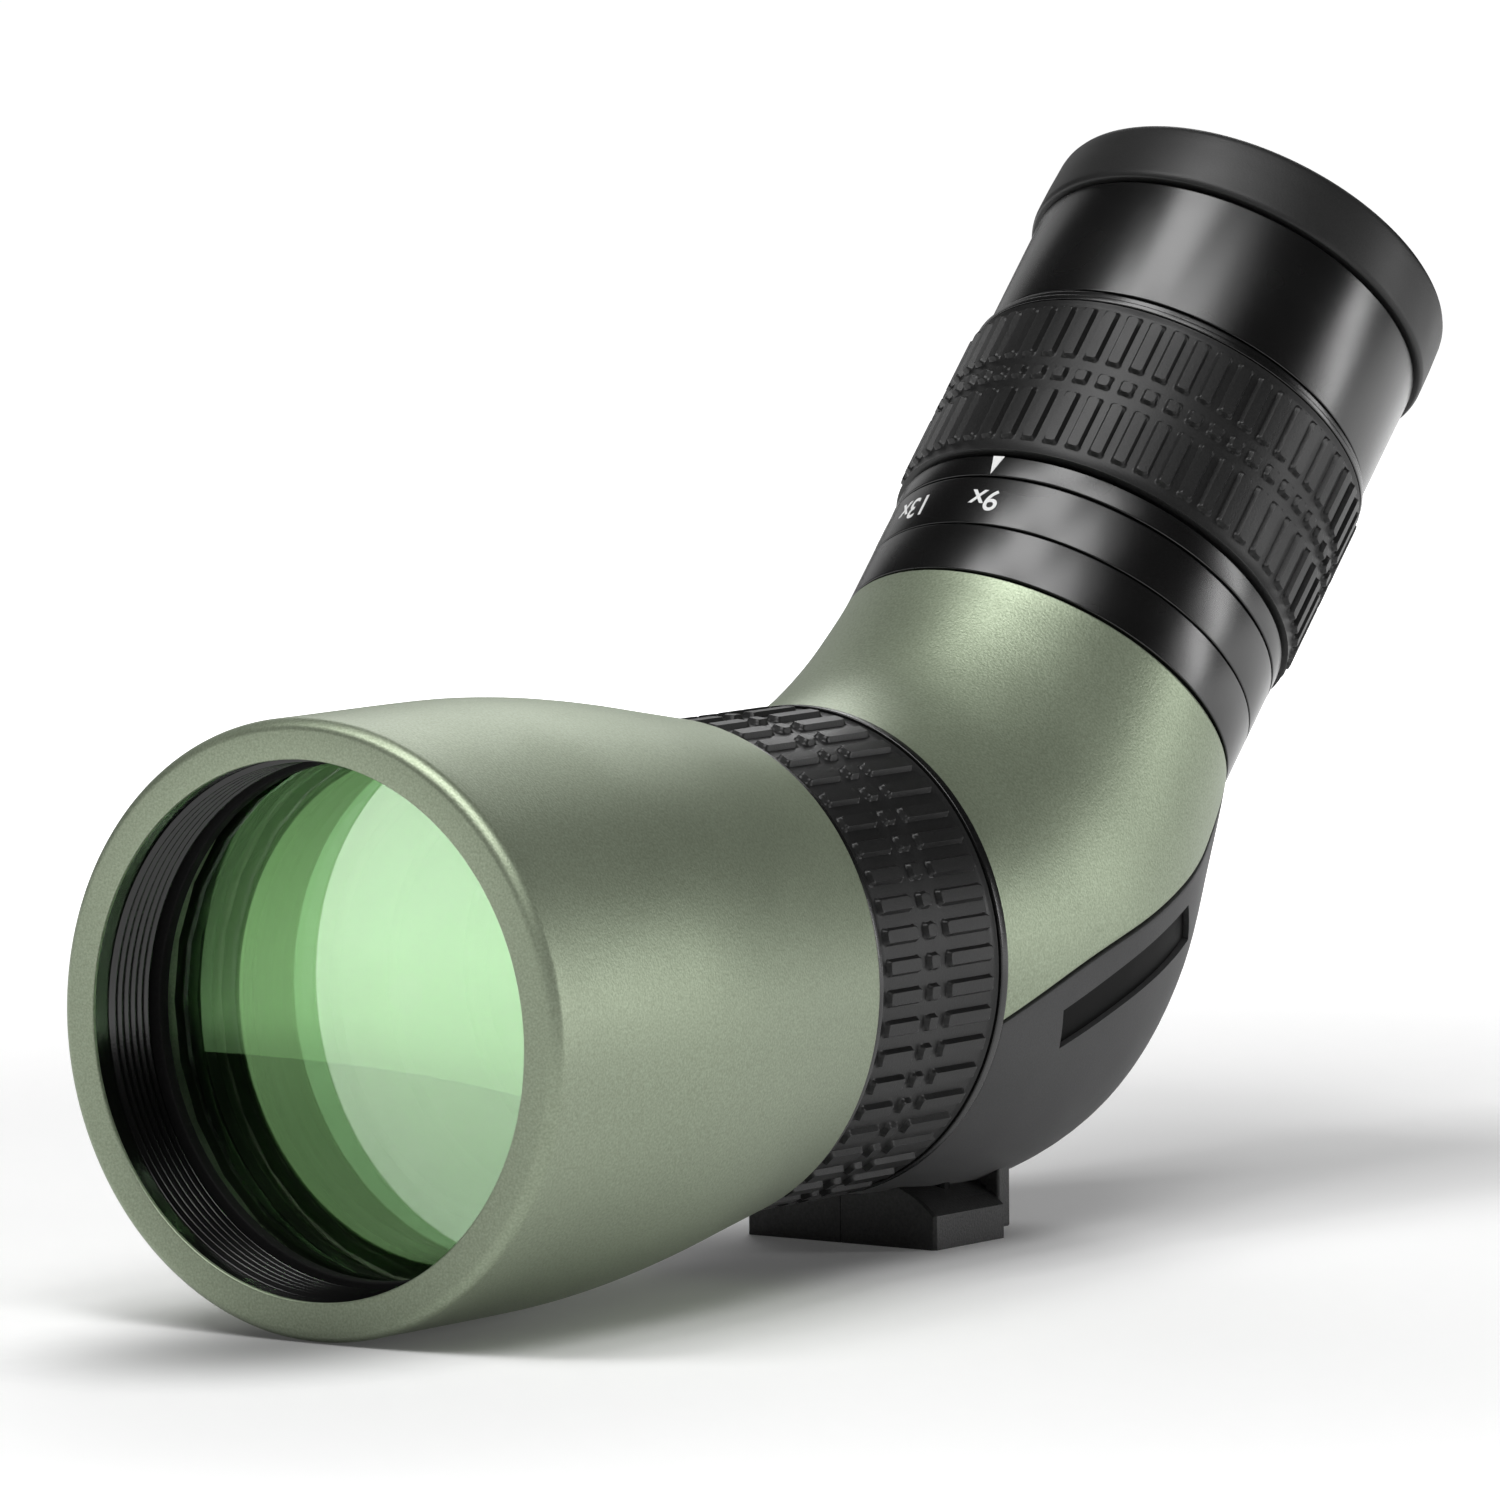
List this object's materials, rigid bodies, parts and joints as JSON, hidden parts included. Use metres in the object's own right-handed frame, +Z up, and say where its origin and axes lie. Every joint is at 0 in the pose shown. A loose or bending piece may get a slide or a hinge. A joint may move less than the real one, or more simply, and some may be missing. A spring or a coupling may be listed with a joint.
{
  "type": "spotting scope",
  "caption": "Angled spotting scope with a tapered objective barrel, ribbed focus and zoom rings, a twist-up eyecup and a flat tripod foot.",
  "frame": {"origin": "centre of the bounding box at its base, under the middle of the scope's length, on the surface that it rests on", "axes": "+Y along the optical axis from the objective towards the eyepiece end, +Z up, +X towards the side with the blank name plate, which is the user's left while looking through the scope"},
  "size_m": [0.068, 0.1986, 0.1233],
  "materials": {
    "sage_paint": "fine metallic satin paint, sage green",
    "black_metal": "black anodised, satin",
    "black_cast": "black powder coat, fine grain",
    "black_rubber": "moulded, matte with polished edges",
    "black_plastic": "matte",
    "coated_glass": "polished, green multi-coating",
    "clear_glass": "polished, coated",
    "brass": "turned",
    "steel": "turned"
  },
  "bodies": {
    "scope_body": {"barrel_shell": "sage_paint", "filter_thread_sleeve": "black_metal", "objective_retaining_ring": "black_metal", "objective_seal": "black_rubber", "objective_crown_lens": "coated_glass", "objective_spacer": "black_metal", "objective_flint_lens": "coated_glass", "light_baffle": "black_plastic", "focus_guide_tube": "black_metal", "prism_housing": "sage_paint", "belly_cover": "black_rubber", "name_plate": "black_plastic", "tripod_foot": "black_cast", "thread_insert": "brass", "foot_screw_left": "steel", "foot_screw_right": "steel", "roof_prism": "clear_glass", "prism_bracket": "black_metal", "prism_clamp": "steel", "clamp_screw_left": "steel", "clamp_screw_right": "steel", "eyepiece_collar": "black_metal", "scale_ring": "black_metal", "eyepiece_tube": "black_metal", "field_stop": "black_metal", "eye_lens": "clear_glass", "eye_lens_retainer": "black_metal", "eyecup_guide": "black_plastic"},
    "focus_wheel": {"focus_ring": "black_metal", "focus_grip_rubber": "black_rubber"},
    "focus_group": {"focus_lens_cell": "black_metal", "focus_lens": "clear_glass", "focus_lens_retainer": "black_metal", "focus_pin": "steel"},
    "zoom_wheel": {"zoom_ring": "black_metal", "zoom_grip_rubber": "black_rubber", "zoom_cam_tube": "brass", "zoom_drive_screw": "steel"},
    "zoom_front_group": {"zoom_front_cell": "black_metal", "zoom_front_lens": "clear_glass", "zoom_front_pin": "steel"},
    "zoom_rear_group": {"zoom_rear_cell": "black_metal", "zoom_rear_lens": "clear_glass", "zoom_rear_pin": "steel"},
    "eyecup_carrier": {"eyecup_lift_ring": "brass"},
    "eyecup": {"eyecup_sleeve": "black_metal", "eyecup_pin": "steel", "eyecup_rubber": "black_rubber"}
  },
  "joints": [
    {"name": "focus_turn", "type": "hinge", "parent": "scope_body", "child": "focus_wheel", "pos_m": [0, -0.0197, 0.034], "axis": [0, 1, 0], "range_deg": [-200, 200]},
    {"name": "focus_travel", "type": "slide", "parent": "scope_body", "child": "focus_group", "axis": [0, 1, 0], "range_m": [-0.0062, 0.0062]},
    {"name": "zoom_turn", "type": "hinge", "parent": "scope_body", "child": "zoom_wheel", "pos_m": [0, 0.01427, 0.034], "axis": [0, -0.6782, -0.7349], "range_deg": [0, 110]},
    {"name": "zoom_front_travel", "type": "slide", "parent": "scope_body", "child": "zoom_front_group", "axis": [0, 0.6782, 0.7349], "range_m": [0, 0.0052]},
    {"name": "zoom_rear_travel", "type": "slide", "parent": "scope_body", "child": "zoom_rear_group", "axis": [0, 0.6782, 0.7349], "range_m": [-0.0042, 0]},
    {"name": "eyecup_lift", "type": "slide", "parent": "scope_body", "child": "eyecup_carrier", "axis": [0, 0.6782, 0.7349], "range_m": [0, 0.0092]},
    {"name": "eyecup_twist", "type": "hinge", "parent": "eyecup_carrier", "child": "eyecup", "pos_m": [0, 0.01427, 0.034], "axis": [0, 0.6782, 0.7349], "range_deg": [0, 120]}
  ],
  "couplings": [
    {"joint": "focus_travel", "follows": "focus_turn", "m_per_rad": 0.0017189},
    {"joint": "zoom_front_travel", "follows": "zoom_turn", "m_per_rad": 0.0026044},
    {"joint": "zoom_rear_travel", "follows": "zoom_turn", "m_per_rad": -0.0020835},
    {"joint": "eyecup_lift", "follows": "eyecup_twist", "m_per_rad": 0.0042972}
  ]
}
